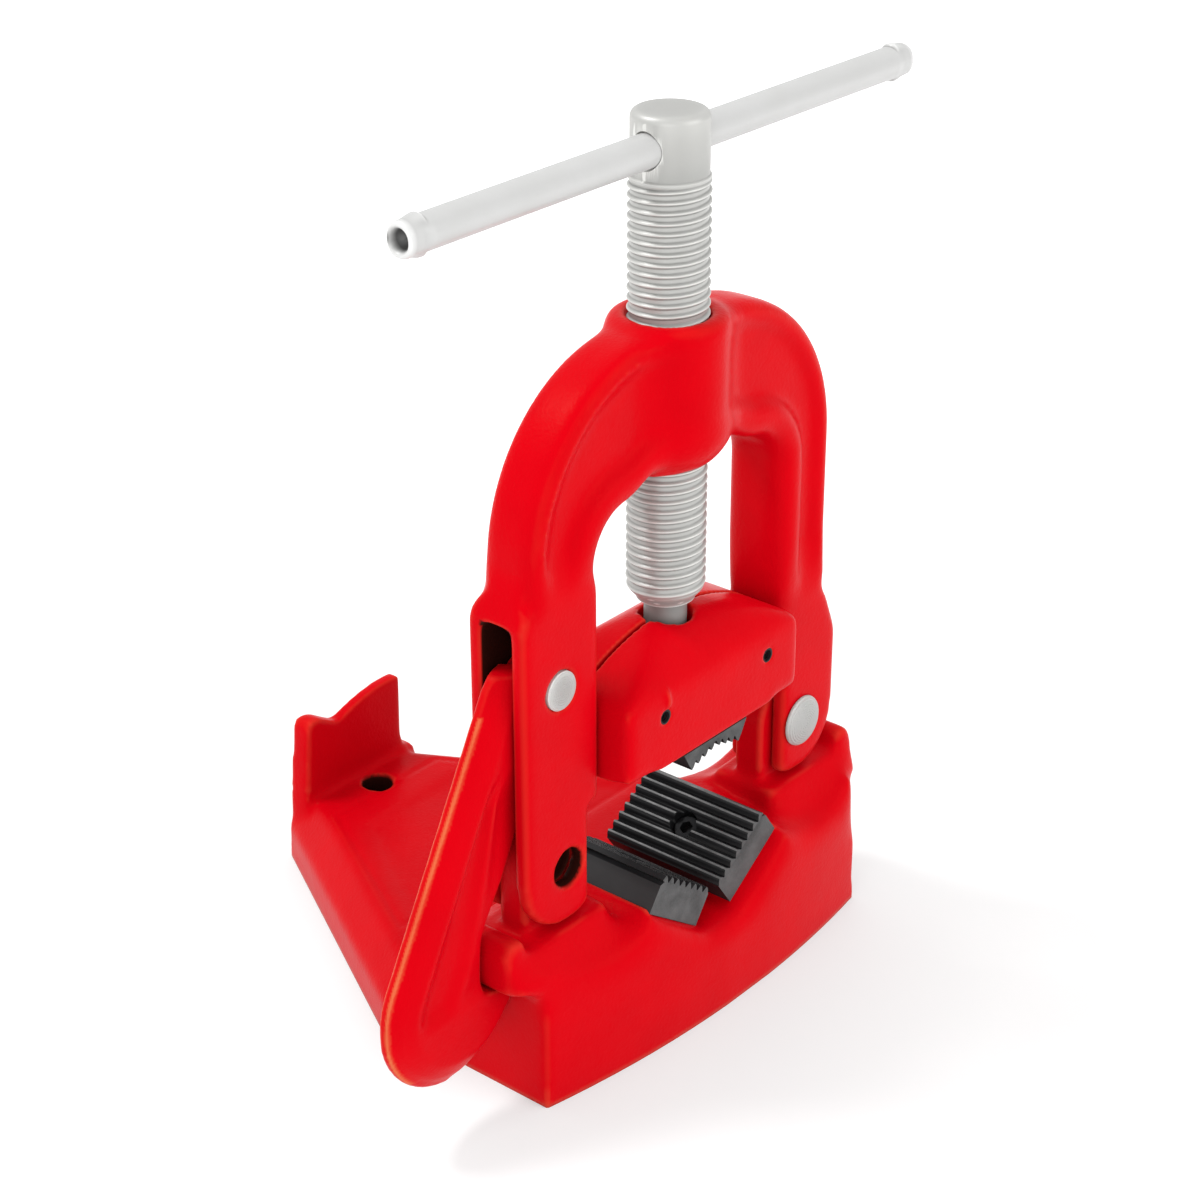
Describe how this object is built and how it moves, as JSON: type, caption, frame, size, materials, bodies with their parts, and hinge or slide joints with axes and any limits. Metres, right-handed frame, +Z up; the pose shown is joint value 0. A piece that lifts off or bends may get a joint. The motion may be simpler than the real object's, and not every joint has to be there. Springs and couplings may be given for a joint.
{
  "type": "yoke pipe vise",
  "caption": "Bench yoke pipe vise: cast foot with toothed V jaws and a rear pipe rest, hinged yoke with swing latch, clamping screw with sliding handle bar and a split upper jaw holder.",
  "frame": {"origin": "on the bench face, under the axis of the clamping screw", "axes": "+X across the yoke towards its hinge, +Y along the pipe towards the rear pipe rest, +Z up along the screw"},
  "size_m": [0.24, 0.17, 0.2851],
  "materials": {
    "red_paint": "semi-gloss red paint over cast grain",
    "screw_steel": "satin zinc",
    "bar_steel": "bright satin zinc",
    "pin_steel": "rough bright steel",
    "jaw_steel": "blackened, ground at the tooth crests and ends",
    "bolt_steel": "black oxide"
  },
  "bodies": {
    "foot": {"base": "red_paint", "lower_jaw_left": "jaw_steel", "lower_jaw_right": "jaw_steel", "lower_jaw_screw_left": "bolt_steel", "lower_jaw_screw_right": "bolt_steel", "hinge_pin": "pin_steel"},
    "yoke": {"yoke": "red_paint", "latch_pin": "pin_steel"},
    "latch": {"latch": "red_paint"},
    "jaw_head": {"jaw_holder_front": "red_paint", "jaw_holder_back": "red_paint", "holder_screw_left": "bolt_steel", "holder_screw_right": "bolt_steel", "upper_jaw": "jaw_steel"},
    "screw": {"screw": "screw_steel"},
    "handle": {"handle_bar": "bar_steel"}
  },
  "joints": [
    {"name": "yoke_hinge", "type": "hinge", "parent": "foot", "child": "yoke", "pos_m": [0.0574, 0, 0.0725], "axis": [0, 1, 0], "range_deg": [0, 70]},
    {"name": "latch_swing", "type": "hinge", "parent": "yoke", "child": "latch", "pos_m": [-0.06, 0, 0.1325], "axis": [0, 1, 0], "range_deg": [0, 35]},
    {"name": "jaw_feed", "type": "slide", "parent": "yoke", "child": "jaw_head", "axis": [0, 0, 1], "range_m": [-0.0331, 0.0451]},
    {"name": "screw_spin", "type": "hinge", "parent": "jaw_head", "child": "screw", "pos_m": [0, 0, 0.2], "axis": [0, 0, 1], "range_deg": [-3960, 5400]},
    {"name": "handle_slide", "type": "slide", "parent": "screw", "child": "handle", "axis": [1, 0, 0], "range_m": [-0.093, 0.087]}
  ],
  "couplings": [
    {"joint": "jaw_feed", "follows": "screw_spin", "m_per_rad": 0.00047746}
  ]
}
